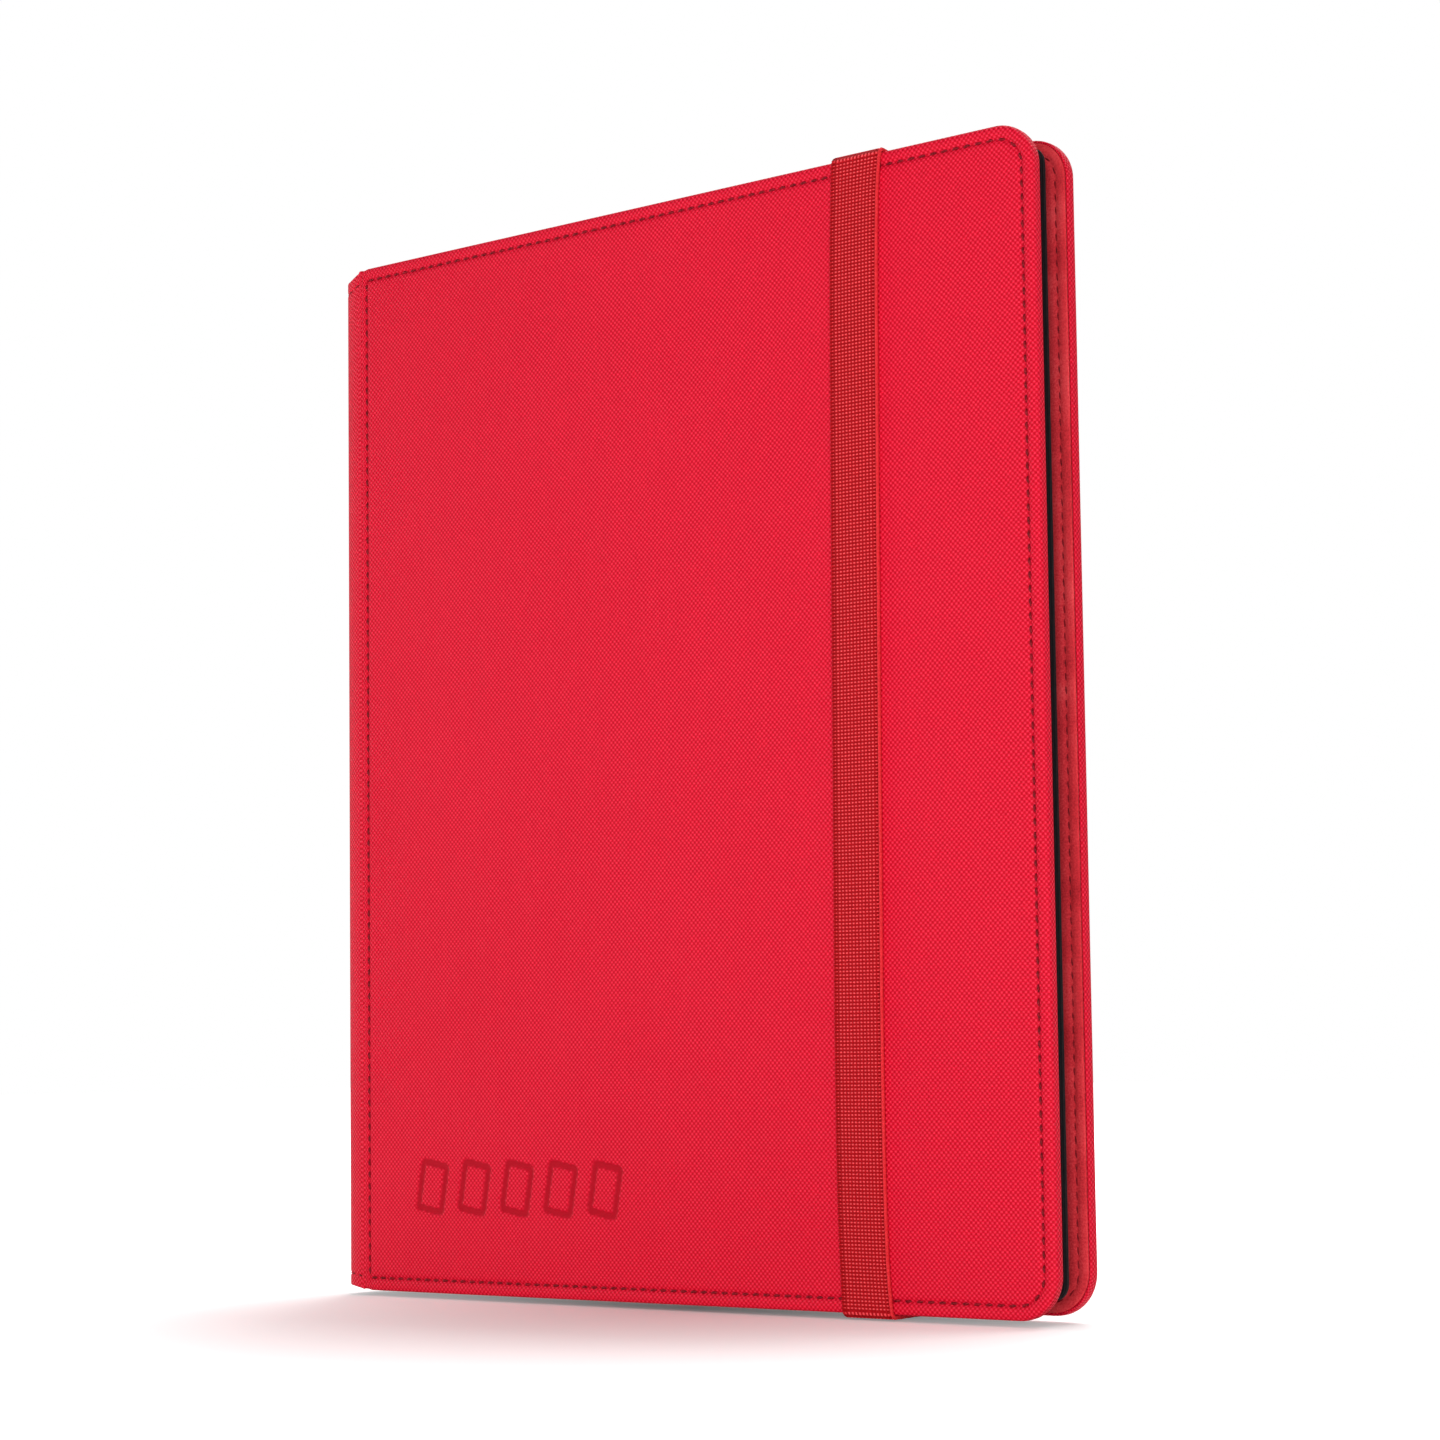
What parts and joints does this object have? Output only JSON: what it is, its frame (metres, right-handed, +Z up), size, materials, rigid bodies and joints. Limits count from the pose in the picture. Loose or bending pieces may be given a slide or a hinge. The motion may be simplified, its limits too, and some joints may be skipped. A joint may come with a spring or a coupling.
{
  "type": "trading card binder",
  "caption": "Padded card binder with two hinged covers, a rounded spine, side-loading pocket leaves and an elastic strap that holds it closed.",
  "frame": {"origin": "middle of the closed binder's box, at the level of the strap's lowest run, on which it stands", "axes": "+Z up along the spine, -Y out of the front cover, +X from the spine to the fore-edge"},
  "size_m": [0.282, 0.0254, 0.3529],
  "materials": {
    "cover_fabric": "coated woven texture",
    "foam": "matte",
    "board": "matte",
    "stiffener": "matte",
    "suede_lining": "napped",
    "thread": "satin",
    "elastic": "ribbed weave",
    "binding": "matte",
    "binding_block": "matte",
    "page_sheet": "fine matte",
    "pocket_film": "clear gloss"
  },
  "bodies": {
    "back_cover": {"back_cover_fabric": "cover_fabric", "back_cover_foam": "foam", "back_cover_board": "board", "back_cover_lining": "suede_lining", "back_cover_stitching": "thread", "strap_sewn_ends": "elastic"},
    "spine": {"spine_fabric": "cover_fabric", "spine_stiffener": "stiffener", "spine_lining": "suede_lining", "spine_stitching": "thread", "binding_web": "binding", "page_binding_block": "binding_block"},
    "front_cover": {"front_cover_fabric": "cover_fabric", "front_cover_foam": "foam", "front_cover_board": "board", "front_cover_lining": "suede_lining", "front_cover_stitching": "thread"},
    "strap_loop": {"strap_top_run": "elastic", "strap_bottom_run": "elastic"},
    "strap_face": {"strap_front_run": "elastic"},
    "leaf_01": {"page_01": "page_sheet", "pockets_01": "pocket_film"},
    "leaf_02": {"page_02": "page_sheet", "pockets_02": "pocket_film"},
    "leaf_03": {"page_03": "page_sheet", "pockets_03": "pocket_film"},
    "leaf_04": {"page_04": "page_sheet", "pockets_04": "pocket_film"},
    "leaf_05": {"page_05": "page_sheet", "pockets_05": "pocket_film"},
    "leaf_06": {"page_06": "page_sheet", "pockets_06": "pocket_film"},
    "leaf_07": {"page_07": "page_sheet", "pockets_07": "pocket_film"},
    "leaf_08": {"page_08": "page_sheet", "pockets_08": "pocket_film"},
    "leaf_09": {"page_09": "page_sheet", "pockets_09": "pocket_film"},
    "leaf_10": {"page_10": "page_sheet", "pockets_10": "pocket_film"},
    "leaf_11": {"page_11": "page_sheet", "pockets_11": "pocket_film"},
    "leaf_12": {"page_12": "page_sheet", "pockets_12": "pocket_film"},
    "leaf_13": {"page_13": "page_sheet", "pockets_13": "pocket_film"},
    "leaf_14": {"page_14": "page_sheet", "pockets_14": "pocket_film"},
    "leaf_15": {"page_15": "page_sheet", "pockets_15": "pocket_film"},
    "leaf_16": {"page_16": "page_sheet", "pockets_16": "pocket_film"},
    "leaf_17": {"page_17": "page_sheet", "pockets_17": "pocket_film"},
    "leaf_18": {"page_18": "page_sheet", "pockets_18": "pocket_film"},
    "leaf_19": {"page_19": "page_sheet", "pockets_19": "pocket_film"},
    "leaf_20": {"page_20": "page_sheet", "pockets_20": "pocket_film"}
  },
  "joints": [
    {"name": "back_seam_hinge", "type": "hinge", "parent": "back_cover", "child": "spine", "pos_m": [-0.1305, 0.01287, 0.17645], "axis": [0, 0, -1], "range_deg": [0, 90]},
    {"name": "front_seam_hinge", "type": "hinge", "parent": "spine", "child": "front_cover", "pos_m": [-0.1305, -0.01142, 0.17645], "axis": [0, 0, -1], "range_deg": [0, 90]},
    {"name": "strap_swing", "type": "hinge", "parent": "back_cover", "child": "strap_loop", "pos_m": [0.0765, 0.00958, 0.17645], "axis": [0, 0, 1], "range_deg": [0, 180], "deforming": ["strap_top_run", "strap_bottom_run"]},
    {"name": "strap_draw_in", "type": "slide", "parent": "strap_loop", "child": "strap_face", "axis": [0, 1, 0], "range_m": [0, 0.0176], "deforming": ["strap_front_run"]},
    {"name": "leaf_01_hinge", "type": "hinge", "parent": "spine", "child": "leaf_01", "pos_m": [-0.125, -0.00611, 0.17645], "axis": [0, 0, -1], "range_deg": [0, 84]},
    {"name": "leaf_02_hinge", "type": "hinge", "parent": "spine", "child": "leaf_02", "pos_m": [-0.12458, -0.00539, 0.17645], "axis": [0, 0, -1], "range_deg": [0, 82]},
    {"name": "leaf_03_hinge", "type": "hinge", "parent": "spine", "child": "leaf_03", "pos_m": [-0.12416, -0.00468, 0.17645], "axis": [0, 0, -1], "range_deg": [0, 80]},
    {"name": "leaf_04_hinge", "type": "hinge", "parent": "spine", "child": "leaf_04", "pos_m": [-0.12374, -0.00396, 0.17645], "axis": [0, 0, -1], "range_deg": [0, 78]},
    {"name": "leaf_05_hinge", "type": "hinge", "parent": "spine", "child": "leaf_05", "pos_m": [-0.12332, -0.00324, 0.17645], "axis": [0, 0, -1], "range_deg": [0, 76]},
    {"name": "leaf_06_hinge", "type": "hinge", "parent": "spine", "child": "leaf_06", "pos_m": [-0.1229, -0.00251, 0.17645], "axis": [0, 0, -1], "range_deg": [0, 74]},
    {"name": "leaf_07_hinge", "type": "hinge", "parent": "spine", "child": "leaf_07", "pos_m": [-0.12248, -0.00179, 0.17645], "axis": [0, 0, -1], "range_deg": [0, 72]},
    {"name": "leaf_08_hinge", "type": "hinge", "parent": "spine", "child": "leaf_08", "pos_m": [-0.12206, -0.00108, 0.17645], "axis": [0, 0, -1], "range_deg": [0, 70]},
    {"name": "leaf_09_hinge", "type": "hinge", "parent": "spine", "child": "leaf_09", "pos_m": [-0.12164, -0.00036, 0.17645], "axis": [0, 0, -1], "range_deg": [0, 68]},
    {"name": "leaf_10_hinge", "type": "hinge", "parent": "spine", "child": "leaf_10", "pos_m": [-0.12122, 0.00036, 0.17645], "axis": [0, 0, -1], "range_deg": [0, 66]},
    {"name": "leaf_11_hinge", "type": "hinge", "parent": "spine", "child": "leaf_11", "pos_m": [-0.12122, 0.00109, 0.17645], "axis": [0, 0, 1], "range_deg": [0, 66]},
    {"name": "leaf_12_hinge", "type": "hinge", "parent": "spine", "child": "leaf_12", "pos_m": [-0.12164, 0.0018, 0.17645], "axis": [0, 0, 1], "range_deg": [0, 68]},
    {"name": "leaf_13_hinge", "type": "hinge", "parent": "spine", "child": "leaf_13", "pos_m": [-0.12206, 0.00252, 0.17645], "axis": [0, 0, 1], "range_deg": [0, 70]},
    {"name": "leaf_14_hinge", "type": "hinge", "parent": "spine", "child": "leaf_14", "pos_m": [-0.12248, 0.00325, 0.17645], "axis": [0, 0, 1], "range_deg": [0, 72]},
    {"name": "leaf_15_hinge", "type": "hinge", "parent": "spine", "child": "leaf_15", "pos_m": [-0.1229, 0.00396, 0.17645], "axis": [0, 0, 1], "range_deg": [0, 74]},
    {"name": "leaf_16_hinge", "type": "hinge", "parent": "spine", "child": "leaf_16", "pos_m": [-0.12332, 0.00468, 0.17645], "axis": [0, 0, 1], "range_deg": [0, 76]},
    {"name": "leaf_17_hinge", "type": "hinge", "parent": "spine", "child": "leaf_17", "pos_m": [-0.12374, 0.00541, 0.17645], "axis": [0, 0, 1], "range_deg": [0, 78]},
    {"name": "leaf_18_hinge", "type": "hinge", "parent": "spine", "child": "leaf_18", "pos_m": [-0.12416, 0.00613, 0.17645], "axis": [0, 0, 1], "range_deg": [0, 80]},
    {"name": "leaf_19_hinge", "type": "hinge", "parent": "spine", "child": "leaf_19", "pos_m": [-0.12458, 0.00685, 0.17645], "axis": [0, 0, 1], "range_deg": [0, 82]},
    {"name": "leaf_20_hinge", "type": "hinge", "parent": "spine", "child": "leaf_20", "pos_m": [-0.125, 0.00756, 0.17645], "axis": [0, 0, 1], "range_deg": [0, 84]}
  ],
  "couplings": [
    {"joint": "front_seam_hinge", "follows": "back_seam_hinge", "ratio": 1},
    {"joint": "strap_swing", "follows": "back_seam_hinge", "ratio": 2},
    {"joint": "strap_draw_in", "follows": "back_seam_hinge", "m_per_rad": 0.011204},
    {"joint": "leaf_01_hinge", "follows": "back_seam_hinge", "ratio": 0.93333},
    {"joint": "leaf_02_hinge", "follows": "back_seam_hinge", "ratio": 0.91111},
    {"joint": "leaf_03_hinge", "follows": "back_seam_hinge", "ratio": 0.88889},
    {"joint": "leaf_04_hinge", "follows": "back_seam_hinge", "ratio": 0.86667},
    {"joint": "leaf_05_hinge", "follows": "back_seam_hinge", "ratio": 0.84444},
    {"joint": "leaf_06_hinge", "follows": "back_seam_hinge", "ratio": 0.82222},
    {"joint": "leaf_07_hinge", "follows": "back_seam_hinge", "ratio": 0.8},
    {"joint": "leaf_08_hinge", "follows": "back_seam_hinge", "ratio": 0.77778},
    {"joint": "leaf_09_hinge", "follows": "back_seam_hinge", "ratio": 0.75555},
    {"joint": "leaf_10_hinge", "follows": "back_seam_hinge", "ratio": 0.73333},
    {"joint": "leaf_11_hinge", "follows": "back_seam_hinge", "ratio": 0.73333},
    {"joint": "leaf_12_hinge", "follows": "back_seam_hinge", "ratio": 0.75555},
    {"joint": "leaf_13_hinge", "follows": "back_seam_hinge", "ratio": 0.77778},
    {"joint": "leaf_14_hinge", "follows": "back_seam_hinge", "ratio": 0.8},
    {"joint": "leaf_15_hinge", "follows": "back_seam_hinge", "ratio": 0.82222},
    {"joint": "leaf_16_hinge", "follows": "back_seam_hinge", "ratio": 0.84444},
    {"joint": "leaf_17_hinge", "follows": "back_seam_hinge", "ratio": 0.86667},
    {"joint": "leaf_18_hinge", "follows": "back_seam_hinge", "ratio": 0.88889},
    {"joint": "leaf_19_hinge", "follows": "back_seam_hinge", "ratio": 0.91111},
    {"joint": "leaf_20_hinge", "follows": "back_seam_hinge", "ratio": 0.93333}
  ]
}
